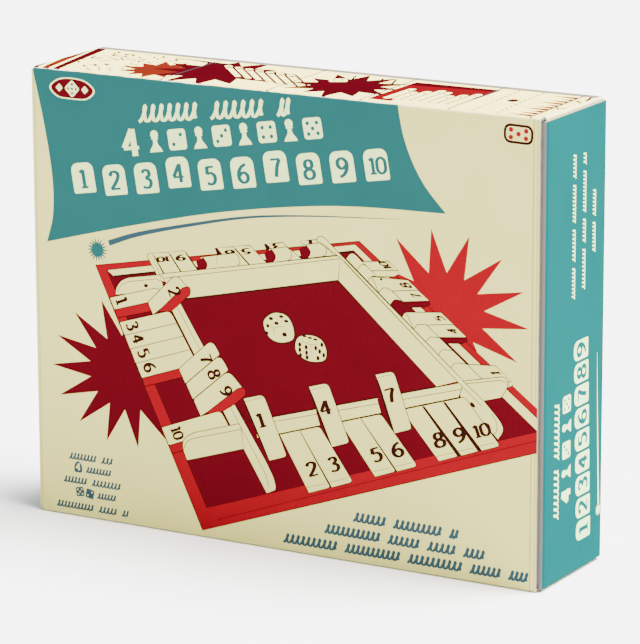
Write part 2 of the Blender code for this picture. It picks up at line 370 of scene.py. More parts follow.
# Each row of tiles runs from tile 1 to tile 10 along a line at the wall and a line at the tips.
# The third value says how fast the line recedes.
ROW_LINES = {
    "bottom": (((-12.7, 62.0), (114.0, 102.0), 0.0), ((4.0, 30.2), (135.5, 78.0), 0.10)),
    "right": (((124.0, 113.4), (51.5, 168.7), 0.25), ((142.0, 114.0), (68.0, 170.5), 0.35)),
    "top": (((36.0, 170.5), (-72.5, 147.0), 0.0), ((23.5, 177.5), (-80.5, 158.3), 0.0)),
    "left": (((-77.0, 139.5), (-32.0, 65.5), -0.20), ((-109.0, 130.0), (-71.5, 50.0), -0.20)),
}
WALL_EDGE = ((113.5, 110.5), (42.0, 169.0), 0.10)  # where the right row meets its wall
RAISED = {"bottom": (1, 4, 7), "left": (2, 7, 8, 9), "top": (2, 4, 7, 8), "right": (2, 3, 6, 9)}
# For each row: across and up of its numerals, how far out along a tile they stand, and a small shift
NUMERAL_AXES = {
    "bottom": ((0.95, 0.36), (-0.28, 0.74), 0.66, (1.5, 0.9)),
    "right": ((-0.55, 0.38), (-0.62, -0.08), 0.72, (0.0, 0.0)),
    "top": ((-0.88, -0.17), (0.08, -0.34), 0.70, (0.0, 0.0)),
    "left": ((0.36, -0.80), (0.90, 0.38), 0.80, (0.0, 0.4)),
}


def moved(point, x, z):
    return point[0] + x, point[1] + z


def along_line(line, place):
    start, end, pull = line
    share = place / 10
    return tuple(Vector(start).lerp(Vector(end), share * (1 + pull) / (1 + pull * share)))


def row_point(side, place, out):
    """A point of a drawn row: place runs 0 to 10 along the tiles, out from 0 at the wall to 1 at the tips."""
    wall, tips = ROW_LINES[side]
    return tuple(Vector(along_line(wall, place)).lerp(Vector(along_line(tips, place)), out))


def tile_face(side, value):
    """The corners of a lowered tile, from the wall on its far side round to the wall on its near side."""
    return [row_point(side, value - k, out) for k, out in ((0, 0), (0, 1), (1, 1), (1, 0))]


def numeral(side, value, height, middle=None, weight=2.5):
    across, up, out, shift = NUMERAL_AXES[side]
    x, z = middle or moved(row_point(side, value - 0.5, out), *shift)
    glyph = number(value, "brown", height, weight)
    return mapped(glyph, lambda a, b: (x + a * across[0] + b * up[0], z + a * across[1] + b * up[1]))


def drawn_tray():
    layers = shape("bright_red", [(-50, 4.2), (179, 85), (50, 179.5), (-118, 147.5)], 0.55)
    layers += shape("cream", [(-47, 17.5), (182, 96), (182, 77.5), (47.5, 177.5), (-110.5, 145.5)], 0.4)
    floor = [(-47, 17.5), (160, 89.6), (160, 86.7), (47, 173.7), (-106, 142.4), (-110.5, 145.5)]
    layers += shape("dark_red", floor, 0.4)
    layers += stroke([(-106, 142.4), (47, 173.7)], 1.1)
    layers += [("bright_red", [(-47, 17.5), (160, 89.6), (160, 79), (-50, 4.2)])]
    return layers + stroke([(-40, 11.8), (0, 26.4), (60, 48.6), (160, 85)], 0.35, "dark_red")


def drawn_back():
    """The far row with the parts of the walls behind it."""
    at = partial(row_point, "top")
    layers = shape("cream", [(-84, 156.5), (-83, 158.2), (-80.5, 158.4), (-70.5, 143), (-76, 143.5)])
    layers += stroke([(-80, 155), (-75, 145.5)], 0.3)
    for value in (10, 9, 6, 5, 3, 1):
        layers += shape("cream", tile_face("top", value), 0.5)
        layers += numeral("top", value, 9.2, at(value - 0.5, 0.84 if value < 4 else 0.70), 2.8)
    for edge, heavy in ((10, 0.7), (9, 0.9), (8, 0.9), (5, 0.9)):
        layers += stroke([at(edge, 0.9), at(edge, 0)], heavy)
    for value in (6, 3):
        tip = at(value, 1)
        layers.append(("brown", [tip, moved(tip, -1.5, 0), moved(tip, 0.3, -4), moved(tip, 3.5, -3.2)]))
    for value in sorted(RAISED["top"], reverse=True):
        left, right = at(value, 0), at(value - 1, 0)
        back = curve([moved(right, *step) for step in ((2.6, 0.6), (4.8, 3), (3.8, 6.4), (1.4, 8))], 4)
        layers += shape("cream", back + [moved(left, 1.5, 8), left])
        if value != 7:
            gap = curve([moved(left, *step) for step in ((0.2, 0.2), (4.2, 1.4), (5.6, 4.6), (3, 8))], 4)
            layers.append(("dark_red", gap + [moved(left, -1.6, 5.2)]))
            layers += stroke(gap, 0.4)
    return layers


def drawn_back_wall():
    layers = shape("cream", [(-75, 147.4), (38.5, 170.5), (37, 156.5), (-66, 133.7)])
    layers += stroke([(-73, 145.2), (-20, 156.3), (38, 168.6)], 0.35)
    stub = curve([(-105, 132), (-104.5, 136), (-101, 140.6), (-96, 143)], 4)
    layers += shape("cream", stub + [(-76, 146.8), (-73.5, 140), (-78, 137)])
    layers += stroke([(-104.2, 133.5), (-101, 138.4), (-96, 140.6), (-78, 144.2), (-74.8, 143)], 0.35)
    return layers + placed([("brown", oval(0, 0, 1.5, 1.0, 10))], -85, 139.6, 0.1)


def drawn_right():
    """The right row: a rounded heel for every tile, and a face for those that are down."""
    at = partial(row_point, "right")
    layers = []
    for value in range(10, 0, -1):
        near, far = along_line(WALL_EDGE, value - 1), along_line(WALL_EDGE, value)
        arch = curve([far, moved(far, 2.2, 2.8), moved(far, 5.0, 3.2), at(value, 0)], 4)
        layers += shape("dark_red" if value == 6 else "cream", [near] + arch + [at(value - 1, 0)], 0.4)
        if value in RAISED["right"]:
            continue
        face = tile_face("right", value)
        b, c, d = face[1:]
        if value in (8, 5):
            face = [moved(far, 2.4, 2.9), b, c, d, near]
        else:
            low = [d, c, moved(c, 0.6, -2.0), moved(c, -2.6, -3.7), moved(d, 3, -2.8)]
            layers += shape("cream" if value in (10, 1) else "dark_red", low, 0.4)
        layers += shape("cream", face, 0.45)
        layers += numeral("right", value, 8.6, None, 2.8)
    layers.append(("brown", oval(63.4, 160.2, 0.9, 0.7, 8)))
    return layers + stroke([at(3, 0), at(1, 0)], 0.7)


def drawn_right_wall():
    layers = shape("cream", [(37, 156.5), (38.4, 169.2), (109.5, 110), (97, 105.5)])
    far_end = curve([(23.8, 176.8), (24.4, 178.6), (26.6, 179.7), (29.2, 178.6)], 3)
    near_end = curve([(131, 96), (135.6, 91), (137, 86.4), (134, 81.4)], 4)
    strip_edge = [(42, 168.2), (113.5, 110.5), (125.5, 101.4)]
    layers += shape("cream", far_end + strip_edge + near_end + [(112, 100), (109.5, 110), (38.4, 169.2)])
    layers += stroke(curve([(26, 176.2), (30, 174.3), (32.6, 172), (33.6, 170)], 3), 0.35)
    layers += stroke([(40.8, 167.6), (109.5, 110), (124, 98.4)], 0.35)
    layers += stroke(curve([(130, 95), (133, 90.6), (133.2, 86), (131, 83.6)], 3), 0.35)
    return layers + placed([("brown", oval(0, 0, 1.9, 1.0, 10))], 118.8, 98.4, -0.7)


def drawn_left_wall():
    near_end = curve([(-9, 50), (-4.4, 42), (-2.6, 36.4), (-3, 33.8)], 4)
    edge = [(-69.5, 128.5), (-63.2, 133), (-29, 80), (-20, 66.5)]
    layers = shape("cream", edge + near_end + [(-8.5, 31.4), (-23, 54.6), (-31.5, 66.5)])
    layers += stroke([(-65.4, 130.6), (-31.2, 77.4), (-20, 59.5), (-9, 42.2), (-6.8, 35)], 0.35)
    return layers + stroke([(-69, 128), (-31.4, 66.4)], 1.0)


def raised_left_tile(value):
    """A tile of the left row that leans on the wall. The last of a group shows its red side."""
    last = value in (2, 9)
    far_foot, near_foot = row_point("left", value - 1, 0.33), row_point("left", value, 0.33)
    far_end = moved(row_point("left", value - 1, 0), 7.0 + 0.4 * value, 15.0)
    near_end = moved(row_point("left", value, 0), 7.4 + 0.4 * value + 3.4 * last, 15.0 - 0.4 * last)
    face = soften([far_foot, far_end, near_end, near_foot], (1.5, 4.5, 1.5, 0.0))
    layers = shape("cream", face, 0.45)
    if last:
        steps = ((-3.5, -0.7), (0.4, 0.4), (1.8, -1.5), (1.2, -4.3))
        edge = curve([moved(near_end, *step) for step in steps], 3)
        foot = [moved(near_end, -4.5, -9.2), moved(near_foot, 11.5, 3)]
        layers += shape("bright_red", [moved(near_foot, 3, 2)] + edge + foot, 0.4)
    else:
        layers += stroke([near_foot, Vector(near_foot).lerp(Vector(near_end), 0.9)], 0.8)
    middle = Vector(far_foot).lerp(Vector(near_end), 0.66)
    return layers + numeral("left", value, 7.8, moved(middle, 0, 0.4))


def drawn_left():
    """The left row, from the far end to the near end."""
    layers = []
    for value in range(1, 11):
        if value in RAISED["left"]:
            layers += raised_left_tile(value)
            continue
        wall, tip, far_tip, far_wall = tile_face("left", value)
        alone = value in (1, 6, 10)
        if alone:
            low = [wall, tip, moved(tip, 1.6, -4.6), moved(wall, 0, -5.6)]
            layers += shape("bright_red", soften(low, (0, 1.6, 1.0, 0)), 0.4)
        first = value in (1, 3, 10)
        face = soften([far_tip, far_wall, wall, tip], (1.0 * first, 2.8 * first, 0.0, 1.0 * alone))
        layers += shape("cream", face, 0.4)
        layers += numeral("left", value, 7.8)
    return layers


def drawn_front_wall():
    corner = curve([(138.6, 115.4), (140, 112.6), (138.4, 108.6)], 3)
    layers = shape("cream", [(113, 110.6), (136.6, 116)] + corner + [(135.6, 104.4), (125.4, 101.4)])
    layers += stroke([(114.6, 109.4), (135.6, 114), (138, 113.4), (139.6, 111.6)], 0.35)
    end = curve([(110.4, 109.2), (112.4, 107.4), (111.6, 104.6), (110.4, 101.4)], 3)
    layers += shape("cream", [(-16, 71.8)] + end + [(-14, 62)])
    layers += stroke([(-5, 72.4), (112, 106)], 0.35)
    for x, z in ((23.0, 82.8), (61.0, 94.2)):
        layers.append(("dark_red", [(x, z + 1), (x + 2.8, z - 9), (x + 12, z - 6), (x + 9, z + 4)]))
        layers += stroke([(x, z), (x + 2.8, z - 8.6)], 0.4)
    return layers


def raised_front_tile(value):
    """A tile of the near row that leans on the wall."""
    far = 1 - 0.02 * value
    foot = row_point("bottom", value - 1, 0.37)
    beside = moved(row_point("bottom", value, 0.37), -2.0, -0.6)
    top_left = moved(row_point("bottom", value - 1, 0), -11.3 + 1.1 * value, 21.4)
    top_right = moved(top_left, 13.2 * far, 4.0 * far)
    bend = moved(top_left, 2.4, -4.6)
    edge = [moved(top_left, 0.4, -2.4), bend, foot, moved(foot, -2.6, 3.6), moved(bend, -1.2, 0)]
    face = soften([top_left, top_right, beside, foot, bend], (0, 3.2, 2.4, 0, 3.0))
    layers = [("brown", edge)] + shape("cream", face, 0.45)
    layers += stroke([moved(top_left, 1.4, -1.7), moved(top_right, -1.0, -1.9)], 0.25)
    middle = Vector(top_left).lerp(Vector(beside), 0.36)
    return layers + numeral("bottom", value, 9.8, moved(middle, 1.2, -0.4))


def drawn_front():
    """The near row."""
    lowered = [value for value in range(1, 11) if value not in RAISED["bottom"]]
    at = partial(row_point, "bottom")
    layers = []
    for value in lowered:
        wall, tip, left_tip, left_wall = tile_face("bottom", value)
        if value in (2, 5, 8):
            shadow = [moved(left_tip, -3.0, 6.4), moved(left_tip, -2.4, 1.2), left_tip, left_wall]
            layers.append(("brown", shadow))
        last = value in (3, 6, 10)
        layers += shape("cream", soften([left_wall, wall, tip, left_tip], (0, 2.0 * last, 2.6, 0.0)), 0.45)
        start = Vector(left_tip).lerp(Vector(left_wall), 0.09)
        end = Vector(tip).lerp(Vector(wall), 0.08)
        layers += stroke([start, start.lerp(end, 0.86)], 0.25)
    for edge, heavy in ((2, 0.9), (5, 0.9), (8, 2.6), (9, 2.6)):
        top, foot, tip = at(edge, 0.02), at(edge, 0.93), at(edge, 1)
        wedge = [moved(top, heavy * 0.35, 0), moved(foot, heavy * 0.5, 0.3), moved(tip, heavy * 0.45, 0.3)]
        wedge += [moved(tip, -heavy * 0.55, -0.2), moved(foot, -heavy * 0.5, -0.3)]
        wedge.append(moved(top, -heavy * 0.35, 0))
        layers.append(("brown", wedge))
    for value in lowered:
        layers += numeral("bottom", value, 9.8, None, 2.5)
    for value in RAISED["bottom"]:
        layers += raised_front_tile(value)
    return layers


def drawn_near_stub():
    """The near wall where it runs on past the left wall."""
    end = curve([(-59.6, 43), (-62.2, 49.4), (-61.4, 55), (-55, 59.6)], 4)
    layers = shape("cream", end + [(-26, 68.6), (-24.6, 66.8), (-23, 54.6)])
    return layers + stroke(curve([(-61.8, 49), (-59.4, 54), (-53, 57)], 3) + [(-25, 65.4)], 0.35)


def drawn_die(outline, corner, arms, pips):
    """A rounded die: its outline, the corner nearest the eye with three edges, and its pips."""
    layers = shape("cream", curve(outline, 4, True), 0.7)
    for end in arms:
        layers += stroke([corner, end], 0.25)
    return layers + [("brown", oval(x, z, wide * 1.2, high * 1.2, 10)) for x, z, wide, high in pips]


def drawn_dice():
    outline = [(-10, 128), (-5, 133.4), (1, 134.5), (6.4, 132.4)]
    outline += [(9.6, 126), (8.6, 120), (0, 117.5), (-7, 120.4)]
    pips = [(1.5, 132.4, 1.2, 0.7), (-5, 130.5, 1.2, 0.8), (-1.5, 128.3, 1.2, 0.8), (4.6, 130.2, 1.2, 0.7)]
    pips += [(3.5, 122.6, 1.3, 1.0), (-7, 126.2, 0.8, 0.9), (-7.6, 122, 0.8, 1.0)]
    layers = drawn_die(outline, (-3.4, 125.3), ((3, 127.4), (-2.8, 121.4), (-8.2, 127.2)), pips)
    outline = [(10, 118), (12.6, 122.8), (20, 124.5), (27, 122.4)]
    outline += [(30, 116), (28, 110.8), (19, 109.4), (11.4, 112.8)]
    spots = [(13, 118.2), (13.1, 115.3), (13.5, 112.4), (17, 117.2), (17.3, 114.2), (17.6, 111.6)]
    spots += [(23, 117.5), (25.5, 115.9), (28, 114.1), (24.4, 112), (26.8, 119.8)]
    pips = [(x, z, 1.2, 0.5) for x, z in ((16, 123.2), (19.4, 122.7), (22.8, 122.2))]
    pips += [(x, z, 0.8, 1.1) for x, z in spots]
    return layers + drawn_die(outline, (19.6, 119), ((24.6, 120), (20.2, 113.8), (14.6, 120.2)), pips)


def drawn_game():
    layers = drawn_tray() + drawn_back() + drawn_back_wall() + drawn_right() + drawn_right_wall()
    layers += shape("dark_red", [(-64, 134), (37, 156.5), (97, 105.5), (-19, 71), (-30, 80)], 0.9)
    layers += drawn_left_wall() + drawn_left() + drawn_dice()
    return layers + drawn_front_wall() + drawn_front() + drawn_near_stub()


# The art on each panel

def header():
    """The teal banner across the top of the front."""
    left_side = curve([(-150, 157.4), (-145.6, 174), (-145.8, 196), (-150.6, 225), (-158, 257)], 6)
    right_side = curve([(73, 257), (76.5, 240), (82.5, 225), (90.5, 212.5), (102.4, 200)], 6)
    foot = curve([(102.4, 200), (36, 197.2), (-32, 187), (-92, 173), (-150, 157.4)], 6)
    return [("teal", left_side + right_side[:-1] + foot[:-1])]


def header_marks():
    """Playing pieces and numbered tiles where a title would stand, and a plain crest."""
    tilt = radians(9.5)

    def spot(i):
        return -92 + 14.2 * i, 219 + 14.2 * i * tan(tilt)

    layers = placed(waves("mint", 96.0, 12.5, 2.3, 4), -88.0, 231.2, radians(7.5))
    layers += placed(number(4, "mint", 15.0, 2.5), -93.5, 219, tilt)
    layers += pawns_and_dice("mint", "teal", 8, spot, tilt, 1.0, 1.16, lambda i: 1 + i // 2)
    for value in range(1, 11):
        x = 20.6 * (value - 1)
        z = 194.0 + x * tan(radians(8.6)) + (2.2 if value in (1, 4, 7) else 0)
        layers += placed(tile_mark(value, "mint", "teal"), x - 125, z, tilt)
    crest = curve([(-15, 0), (-9, 5), (0, 6.2), (9, 5), (15, 0), (10, -5.2), (0, -6), (-10, -5.2)], 5, True)
    emblem = [("mint", crest), ("dark_red", [(x * 0.92, y * 0.88) for x, y in crest])]
    for x, pips, size in ((0, 5, 0.72), (-8.4, 1, 0.34), (8.4, 1, 0.34)):
        emblem += placed(die_mark("mint", "dark_red", pips), x, 0, pi / 4, size)
    return layers + placed(emblem, -131.5, 245.6)


def badge():
    """A small framed die face in the top right corner."""
    layers = [("brown", rounded(-8.6, 8.6, -5.2, 5.2, 3.8)), ("cream", rounded(-7.2, 7.2, -3.8, 3.8, 2.6))]
    layers += [("bright_red", oval(4.4 * x, 2.0 * y, 1.35, steps=12)) for x, y in PIPS[5]]
    return placed(layers, 144.6, 246.6, radians(-1))


def contents_list():
    """Pictures of what is inside among wavy lines, in place of a list."""
    rows = ((29, 5.0, 11, -138.0, 33.4), (19, 4.6, 12, -127.0, 26.6), (38, 5.0, 13, -142.0, 19.4),
            (13, 4.6, 14, -119.6, 12.4), (48, 5.0, 15, -147.0, 4.4))
    layers = small_print("slate", [(long, high, 1.15, seed, x, y, 0) for long, high, seed, x, y in rows])
    layers += placed(tile_mark(4, "slate", "cream", 7.0, 5.4), -132.0, 29.4)
    layers += placed(die_mark("slate", "cream", 5), -131.0, 14.8, 0.15, 0.54)
    return layers + placed(die_mark("slate", "cream", 2), -124.4, 14.4, -0.2, 0.54)


def front_art():
    layers = [("cream", rounded(-160, 160, -2, 258, 0))]
    # The darker cream lines near the front's side edges are painted shade, where the panel rounds off.
    for x, wide in ((153.6, 0.9), (155.9, 0.6), (-156.3, 0.6)):
        layers += stroke([(x, -1), (x, 257)], wide, "crease")
    layers += [("dark_red", star(-98, 88, 42.7, 21.2, 15, 0.232, wide=1.18))]
    layers += [("bright_red", star(101, 147, 44.5, 21.3, 14, 0.37, wide=1.15))]
    layers += header() + header_marks() + badge()
    layers += [("teal", star(-116.6, 156.4, 7.4, 3.7, 18, 0.05))]
    tail = [(-109, 161), (-90, 168), (-60, 176), (-20, 185), (20, 190), (74, 194)]
    layers += [("slate", swoosh(tail, 3.2, 0.2))]
    rows = [(64, 7.0, 1.75, 21, 46, 23.6, -0.6), (98, 7.0, 1.75, 22, 28, 14.4, -0.4)]
    rows.append((150, 7.0, 1.75, 23, 2, 5.2, 0))
    return layers + drawn_game() + contents_list() + small_print("slate", rows)


def top_speckles():
    dice = random.Random(5)
    speck = [("brown", rounded(-2.1, 2.1, -0.6, 0.6, 0.3, 2))]
    layers = []
    for _ in range(84):
        x, y = dice.uniform(-146, -100), dice.uniform(-30, 24)
        layers += placed(speck, x + y * 0.2, y, dice.uniform(-1.2, 0.4))
    return layers


def top_tiles():
    """Slanted tiles with a dark spot at one end, across the dark star."""
    tile = [("dark_red", rounded(-3.5, 3.5, -19, 19, 1.6)), ("cream", rounded(-2.1, 2.1, -17.6, 17.6, 1.3))]
    tile.append(("brown", rounded(-1.6, 1.6, 10.6, 13.8, 0.8, 2)))
    layers = []
    for i in range(7):
        layers += placed(tile, -52 + 7.4 * i, 4 - 1.3 * i, 0.72)
    return layers


def top_panel():
    """A red block with a row of tiles of uneven height in front of it."""
    layers = [("bright_red", [(52, -31), (66, -31), (66, -4), (103, -6), (103, 21), (52, 21)])]
    layers += [("dark_red", [(52, 14), (103, 19), (103, 24), (52, 23)])]
    for i in range(8):
        high = (6, -2, 3, 9)[i % 4]
        left = 57.5 + 5.5 * i
        layers += framed("cream", "brown", left, left + 5, -26, high, 2.2, 0.25)
        layers += stroke([(left + 1.6, high - 5), (left + 3.6, high - 8)], 0.8)
    return layers


def top_right_end():
    """Dashed lines round a small rosette, a column of red points, and dark strokes at the corner."""
    layers = []
    for x in (114, 128):
        for i in range(11):
            y = -33 + 5.8 * i
            layers.append(("brown", rounded(x - 0.6 - y * 0.06, x + 0.6 - y * 0.06, y, y + 3, 0.4, 2)))
    layers += [("brown", star(122, 1, 5.4, 3.0, 11, wide=0.8)), ("dark_red", oval(122, 1, 1.6, 2.4, 10))]
    for i in range(10):
        y = -34 + 6 * i
        tip = (134 + 4 * (i % 3), y + 2.5)
        layers.append(("bright_red" if i % 2 else "orange", [(150, y), (150, y + 5), tip]))
    layers += [("brown", [(151.6, 37), (153.6, 37), (157.4, 18), (156.0, 17)])]
    return layers + stroke([(151, 17), (156.5, 12)], 1.6) + stroke([(151.4, -5), (153, -9), (156.5, -4)], 1.8)


def top_art():
    """A band of small pictures, divided by thin slanted lines."""
    layers = [("cream", rounded(-160, 160, -38, 38, 0))]
    for x, ink in ((-166, "dark_red"), (-159, "orange"), (-152, "dark_red")):
        layers.append((ink, [(x - 5, 30), (x + 8, -37), (x + 12, -37), (x + 1, 30)]))
    layers += top_speckles()
    layers += [("orange", star(-90, -12, 25, 15, 11, 0.3, 0.1, 2, 0.9))]
    layers += [("brown", [(-104, 25), (-58, 21), (-56, 15), (-74, 18)])]
    layers += [("dark_red", star(-57, -3, 36, 22, 12, 0.2, 0.14, 4))] + top_tiles()
    layers += [("dark_red", star(24, -5, 33, 19, 12, 0.12, 0.14, 9))]
    layers += placed(die_mark("cream", "brown", 4), 12, 8, 0.5)
    for x in (14, 22, 31, 39):
        layers += stroke([(x, 24), (x + 5, 9)], 1.3)
    layers += top_panel() + top_right_end()
    # The grey strip along the top's back edge is painted shade.
    layers.append(("grey", rounded(-160, 160, 28.5, 37.5, 0)))
    for x in (-75, -8, 49, 102, 150):
        layers.append(("slate", [(x - 1.5, 36.5), (x - 0.5, 36.5), (x + 1.5, -36.5), (x + 0.5, -36.5)]))
    # Every ink of the top is its own copy, its shade set for the top's light: partly painted light.
    return [(f"top_{ink}", outline) for ink, outline in layers]


def back_art():
    """The back isn't seen in the photo: how to play, in pictures."""
    layers = [("cream", rounded(-160, 160, -2, 258, 0))]
    banner = curve([(-158, 258), (-150, 236), (-146, 214)], 5)
    banner += curve([(-146, 214), (0, 206), (146, 214)], 8)[1:]
    layers += [("teal", banner + curve([(146, 214), (150, 236), (158, 258)], 5)[1:])]
    for value in range(1, 11):
        layers += placed(tile_mark(value, "mint", "teal"), -99 + 22 * (value - 1), 233)
    layers += [("dark_red", star(-70, 105, 84, 58, 26, 0.1, 0.08, 12))]
    layers += placed(board_plan(), -70, 105, 0, 1.12)
    for row in range(4):
        z = 174 - 40 * row
        layers += framed("mint", "slate", 34, 70, z - 16, z + 16, 3, 0.4)
        for line in range(3):
            x_long = 68 - 11 * (line == 2)
            layers += placed(waves("slate", x_long, 4.2, 0.9, 40 + row * 3 + line), 77, z + 8 - 10 * line)
    layers += placed(die_mark("bright_red", "cream", 6), 45, 177, 0.3, 1.2)
    layers += placed(die_mark("bright_red", "cream", 3), 59, 171, -0.2, 1.2)
    for i in range(3):
        layers += placed(tile_mark(i + 3, "cream", "brown", 24 - 10 * (i == 1), 8), 43 + 9 * i, 134)
    for i in range(4):
        layers += placed(pawn_mark("teal"), 41 + 7.4 * i, 94, 0, 0.95)
    layers += [("orange", star(52, 54, 13, 7, 14))] + placed(number(10, "cream", 9), 52, 54)
    layers += [("slate", swoosh([(-150, 22), (-60, 12), (60, 12), (146, 22)], 0.3, 2.2))]
    layers += [("teal", star(147, 23, 7, 3.5, 20))]
    for i in range(30):
        left = -142 + 1.9 * i
        layers.append(("brown", rounded(left, left + 0.5 + 0.35 * (i * 7 % 4), 3.5, 8.5, 0)))
    return layers


def bottom_art():
    layers = [("cream", rounded(-160, 160, -38, 38, 0)), ("teal", rounded(-146, 146, -12, 12, 12))]
    for value in range(1, 11):
        layers += placed(tile_mark(value, "mint", "teal", 15.0, 11.0), -99 + 22 * (value - 1), 0)
    return layers


def end_art():
    """Columns of marks that read up the panel, across Y and up Z."""
    rows = [(78, 4.6, 0.95, 61, 0.2, 153, 90), (74, 4.6, 0.95, 62, 12.2, 156, 90)]
    rows += [(37, 4.6, 0.95, 63, 24, 174, 90), (70, 7.6, 1.35, 64, -16.4, 36, 90)]
    # The ends print in their own copies of teal and mint, shades set for the light there: partly painted
    # light.
    layers = [("end_teal", rounded(-40, 40, -2, 258, 0))] + small_print("end_mint", rows)
    layers += placed(number(4, "end_mint", 10.5, 3.2), -7.6, 47, pi / 2)

    def spot(i):
        return -7.6, 47 + 12.6 * i

    layers += pawns_and_dice("end_mint", "end_teal", 4, spot, pi / 2, 0.86, 0.95, lambda i: 1 + i)
    for i in range(9):
        z = 12.6 * i
        tile = tile_mark(i + 1, "end_mint", "end_teal", 17.0, 11.0)
        layers += placed(tile, 13.6 - z * 0.05, 23 + z, pi / 2)
    layers += [("end_mint", swoosh([(32.2, 32), (30.6, 62), (29.2, 92), (28.2, 118)], 1.7, 0.2))]
    return layers + [("end_mint", star(32.0, 29, 3.6, 1.9, 12))]


# Finishes

def linear(colour, amount=1.0):
    """A colour given as 0 to 255 screen values, as the renderer wants it."""
    values = [c / 255 for c in colour]
    values = [c / 12.92 if c <= 0.04045 else ((c + 0.055) / 1.055) ** 2.4 for c in values]
    return tuple(c * amount for c in values) + (1.0,)


def add_node(material, kind, **values):
    node = material.node_tree.nodes.new(f"ShaderNode{kind}")
    for name, value in values.items():
        node.inputs[name].default_value = value
    return node


def drifting(name, colour, other, scale, rough, specular=0.5, stretch=(1, 1, 1), detail=4.0):
    """A material whose colour drifts between two shades, with its mapping and its noise."""
    material = bpy.data.materials.new(name)
    material.use_nodes = True
    shader = material.node_tree.nodes["Principled BSDF"]
    shader.inputs["Roughness"].default_value = rough
    shader.inputs["Specular IOR Level"].default_value = specular
    place = add_node(material, "TexCoord")
    mapping = add_node(material, "Mapping", Scale=stretch)
    noise = add_node(material, "TexNoise", Scale=scale, Detail=detail)
    ramp = add_node(material, "ValToRGB")
    for stop, position, shade in zip(ramp.color_ramp.elements, (0.35, 0.62), (other, colour)):
        stop.position = position
        stop.color = shade
    links = material.node_tree.links
    links.new(place.outputs["Object"], mapping.inputs["Vector"])
    links.new(mapping.outputs["Vector"], noise.inputs["Vector"])
    links.new(noise.outputs["Fac"], ramp.inputs["Fac"])
    links.new(ramp.outputs["Color"], shader.inputs["Base Color"])
    return material, mapping, noise


def bump(material, texture, strength, distance, mapping=None):
    """Raises the surface by the texture, on top of any bump that it has."""
    links = material.node_tree.links
    normal = material.node_tree.nodes["Principled BSDF"].inputs["Normal"]
    bumper = add_node(material, "Bump", Strength=strength, Distance=distance)
    if mapping:
        links.new(mapping.outputs["Vector"], texture.inputs["Vector"])
    links.new(texture.outputs["Fac"], bumper.inputs["Height"])
    if normal.links:
        links.new(normal.links[0].from_socket, bumper.inputs["Normal"])
    links.new(bumper.outputs["Normal"], normal)


def ink_material(ink, flutes):
    """Printed board: flat ink with a slight drift, a soft swell and washboard lines from the flutes."""
    name = f"ink_{ink}_{flutes.lower()}"
    if name in bpy.data.materials:
        return bpy.data.materials[name]
    material, mapping, _ = drifting(name, linear(INKS[ink]), linear(INKS[ink], 0.955), 35.0, 0.6, 0.0)
    bump(material, add_node(material, "TexNoise", Scale=9.0, Detail=1.0), 0.35, 0.004, mapping)
    if flutes != "flat":
        wave = add_node(material, "TexWave", Scale=tau / (20 * FLUTE * MM), Distortion=0.4)
        wave.bands_direction = flutes
        bump(material, wave, 0.10, 0.0004, mapping)
    return material


def plain_material(name, colour, other, scale, rough, grain=0.0, stretch=(1, 1, 1), specular=0.5):
    """A drifting two-shade finish with an optional fine texture."""
    name = f"finish_{name}"
    if name in bpy.data.materials:
        return bpy.data.materials[name]
    material, _, noise = drifting(name, linear(colour), linear(other), scale, rough, specular, stretch)
    if grain:
        bump(material, noise, grain, 0.0004)
    return material


# The bare board of cut edges and inner sides: its own colour, with its grey set darker so that the cut edges
# look shaded, which is painted shade.
def board_material():
    return plain_material("board", (140, 134, 124), (130, 124, 114), 160.0, 0.8, 0.12, (1, 1, 0.3))


def wood_material(name, colour, other, stretch):
    return plain_material(name, colour, other, 90.0, 0.42, 0.15, stretch, 0.12)


def steel_material():
    steel = plain_material("steel", (176, 178, 182), (150, 152, 158), 200.0, 0.28, 0.05)
    steel.node_tree.nodes["Principled BSDF"].inputs["Metallic"].default_value = 1.0
    return steel


def felt_material():
    shades = linear((72, 8, 15)), linear((58, 6, 11))
    felt = drifting("finish_felt", *shades, 900.0, 0.95, 0.0, (1, 1, 1), 8.0)[0]
    bump(felt, add_node(felt, "TexNoise", Scale=2600.0), 0.6, 0.0006)
    return felt


# Meshes

def add_object(name, mesh, materials, angle):
    """An object for the mesh, smooth except at edges sharper than the angle."""
    for material in materials:
        mesh.materials.append(material)
    mesh.shade_smooth()
    mesh.set_sharp_from_angle(angle=radians(angle))
    obj = bpy.data.objects.new(name, mesh)
    bpy.context.scene.collection.objects.link(obj)
    return obj


def from_bmesh(name, bm, materials, angle):
    mesh = bpy.data.meshes.new(name)
    bm.to_mesh(mesh)
    bm.free()
    return add_object(name, mesh, materials, angle)


def from_faces(name, corners, faces, material, angle):
    mesh = bpy.data.meshes.new(name)
    mesh.from_pydata([tuple(c * MM for c in p) for p in corners], [], faces)
    return add_object(name, mesh, [material], angle)


def hand_over(obj, body, node):
    """Puts the piece under the empty of the body it rides on, and hides the CAD node it replaces."""
    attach(obj, body)
    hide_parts(node)


# Printed sheets

def clean(outline):
    """The outline without doubled points, or nothing if it is too thin to print."""
    kept = []
    for p in outline:
        if not kept or (Vector(p) - Vector(kept[-1])).length > 0.02:
            kept.append(p)
    if (Vector(kept[0]) - Vector(kept[-1])).length < 0.02:
        kept.pop()
    if len(kept) < 3:
        return []
    around = sum((Vector(b) - Vector(a)).length for a, b in zip(kept, kept[1:] + kept[:1]))
    return kept if 2 * abs(area(kept)) / around > 0.03 else []


